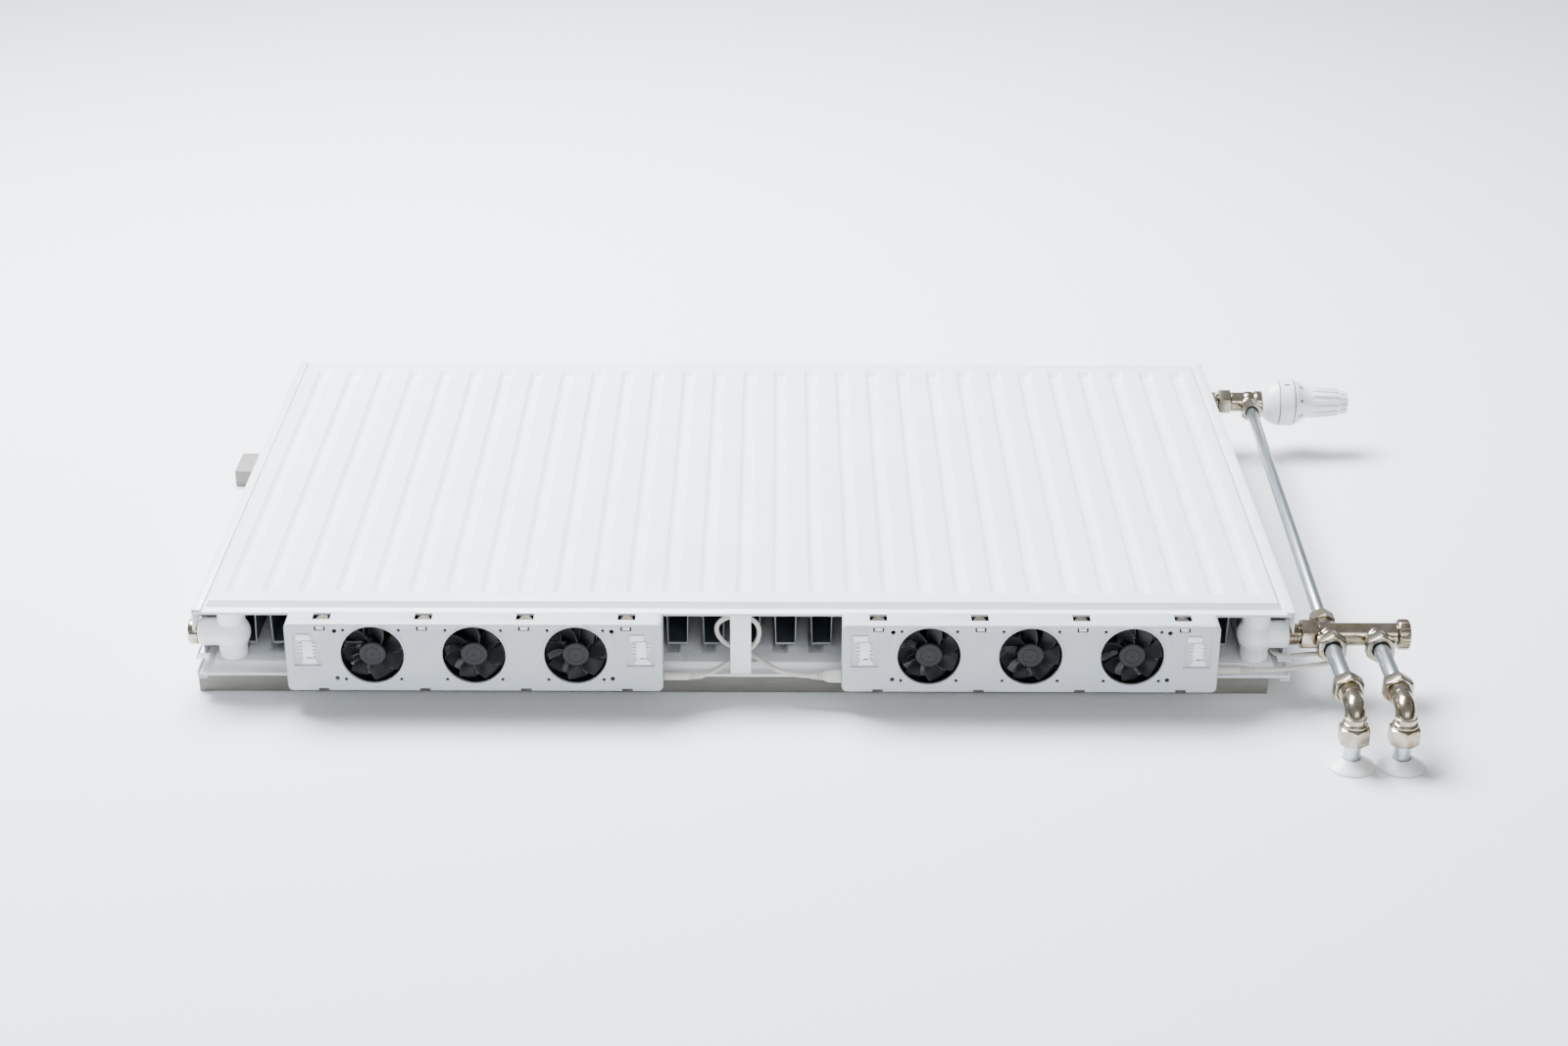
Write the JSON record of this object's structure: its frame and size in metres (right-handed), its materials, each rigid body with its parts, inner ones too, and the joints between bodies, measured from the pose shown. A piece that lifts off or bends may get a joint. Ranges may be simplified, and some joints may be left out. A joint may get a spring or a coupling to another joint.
{
  "type": "radiator with valve",
  "caption": "Profiled panel radiator lying on rails, with thermostatic valve, riser, pipe block, elbows in rosettes, and clip-on fan modules with jumper and supply leads.",
  "frame": {"origin": "mid width of the radiator, on the underside of the lower rail, on that rail's centre line", "axes": "The radiator lies flat as pictured, front up. +X runs along its width towards the valve, +Y from its bottom edge to its top edge, which is up once it hangs on a wall, and +Z is out of its front"},
  "size_m": [1.215, 0.8696, 0.0953],
  "materials": {
    "enamel": "gloss white enamel",
    "slate_primer": "dark slate primer, satin",
    "painted_board": "warm grey painted board",
    "nickel_plate": "nickel-plated brass",
    "zinc_plate": "zinc-plated steel pipe",
    "light_grey_abs": "light grey ABS, fine texture",
    "black_pbt": "black glass-filled PBT",
    "white_abs": "white ABS, semi-gloss",
    "ivory_pvc": "ivory PVC, satin"
  },
  "bodies": {
    "radiator": {"front_outer_shell": "enamel", "front_inner_shell": "enamel", "rear_inner_shell": "enamel", "rear_outer_shell": "enamel", "convector": "slate_primer", "side_panel_left": "enamel", "side_panel_right": "enamel", "top_grille": "enamel", "tee_lower_left": "enamel", "tee_lower_right": "enamel", "tee_upper_left": "enamel", "tee_upper_right": "enamel", "blind_plug": "nickel_plate", "vent_plug": "nickel_plate", "bottom_strap": "enamel", "lower_rail": "painted_board", "upper_rail": "painted_board", "fan_housing_left": "light_grey_abs", "fan_housing_right": "light_grey_abs", "fan_tray_left": "black_pbt", "fan_tray_right": "black_pbt", "jumper_lead": "ivory_pvc", "supply_plug": "ivory_pvc", "supply_cable": "ivory_pvc", "supply_coil": "ivory_pvc", "power_adapter": "white_abs", "valve_tail": "nickel_plate", "valve_union_nut": "nickel_plate", "valve_body": "nickel_plate", "head_base": "white_abs", "riser_pipe": "zinc_plate", "riser_nut_upper": "nickel_plate", "riser_nut_lower": "nickel_plate", "block_tail": "nickel_plate", "block_union_nut": "nickel_plate", "block_body": "nickel_plate", "block_cap": "nickel_plate", "outlet_nut_1": "nickel_plate", "outlet_nut_2": "nickel_plate", "lower_pipe_1": "zinc_plate", "lower_pipe_2": "zinc_plate", "elbow_1": "nickel_plate", "elbow_2": "nickel_plate", "elbow_nut_upper_1": "nickel_plate", "elbow_nut_upper_2": "nickel_plate", "elbow_nut_lower_1": "nickel_plate", "elbow_nut_lower_2": "nickel_plate", "wall_stub_1": "zinc_plate", "wall_stub_2": "zinc_plate"},
    "fan_rotor_1": {"fan_rotor_1": "black_pbt"},
    "fan_rotor_2": {"fan_rotor_2": "black_pbt"},
    "fan_rotor_3": {"fan_rotor_3": "black_pbt"},
    "fan_rotor_4": {"fan_rotor_4": "black_pbt"},
    "fan_rotor_5": {"fan_rotor_5": "black_pbt"},
    "fan_rotor_6": {"fan_rotor_6": "black_pbt"},
    "handle": {"head_handle": "white_abs"},
    "valve_pin": {"valve_pin": "nickel_plate"},
    "bleed_screw": {"bleed_screw": "nickel_plate"},
    "rosette_1": {"rosette_1": "white_abs"},
    "rosette_2": {"rosette_2": "white_abs"}
  },
  "joints": [
    {"name": "fan_1_spin", "type": "hinge", "parent": "radiator", "child": "fan_rotor_1", "pos_m": [-0.3343, -0.056, 0.0594], "axis": [0, 1, 0], "continuous": true},
    {"name": "fan_2_spin", "type": "hinge", "parent": "radiator", "child": "fan_rotor_2", "pos_m": [-0.2426, -0.056, 0.0594], "axis": [0, 1, 0], "continuous": true},
    {"name": "fan_3_spin", "type": "hinge", "parent": "radiator", "child": "fan_rotor_3", "pos_m": [-0.1509, -0.056, 0.0594], "axis": [0, 1, 0], "continuous": true},
    {"name": "fan_4_spin", "type": "hinge", "parent": "radiator", "child": "fan_rotor_4", "pos_m": [0.1678, -0.056, 0.0594], "axis": [0, 1, 0], "continuous": true},
    {"name": "fan_5_spin", "type": "hinge", "parent": "radiator", "child": "fan_rotor_5", "pos_m": [0.2595, -0.056, 0.0594], "axis": [0, 1, 0], "continuous": true},
    {"name": "fan_6_spin", "type": "hinge", "parent": "radiator", "child": "fan_rotor_6", "pos_m": [0.3512, -0.056, 0.0594], "axis": [0, 1, 0], "continuous": true},
    {"name": "handle_turn", "type": "hinge", "parent": "radiator", "child": "handle", "pos_m": [0.6, 0.537, 0.0568], "axis": [1, 0, 0], "range_deg": [-150, 150]},
    {"name": "valve_pin_slide", "type": "slide", "parent": "radiator", "child": "valve_pin", "axis": [1, 0, 0], "range_m": [-0.0013, 0.0013]},
    {"name": "bleed_screw_turn", "type": "hinge", "parent": "radiator", "child": "bleed_screw", "pos_m": [-0.505, 0.537, 0.0568], "axis": [1, 0, 0], "range_deg": [0, 180]},
    {"name": "rosette_1_slide", "type": "slide", "parent": "radiator", "child": "rosette_1", "axis": [0, 0, 1], "range_m": [0, 0.012]},
    {"name": "rosette_2_slide", "type": "slide", "parent": "radiator", "child": "rosette_2", "axis": [0, 0, 1], "range_m": [0, 0.012]}
  ],
  "couplings": [
    {"joint": "valve_pin_slide", "follows": "handle_turn", "m_per_rad": 0.000477}
  ]
}
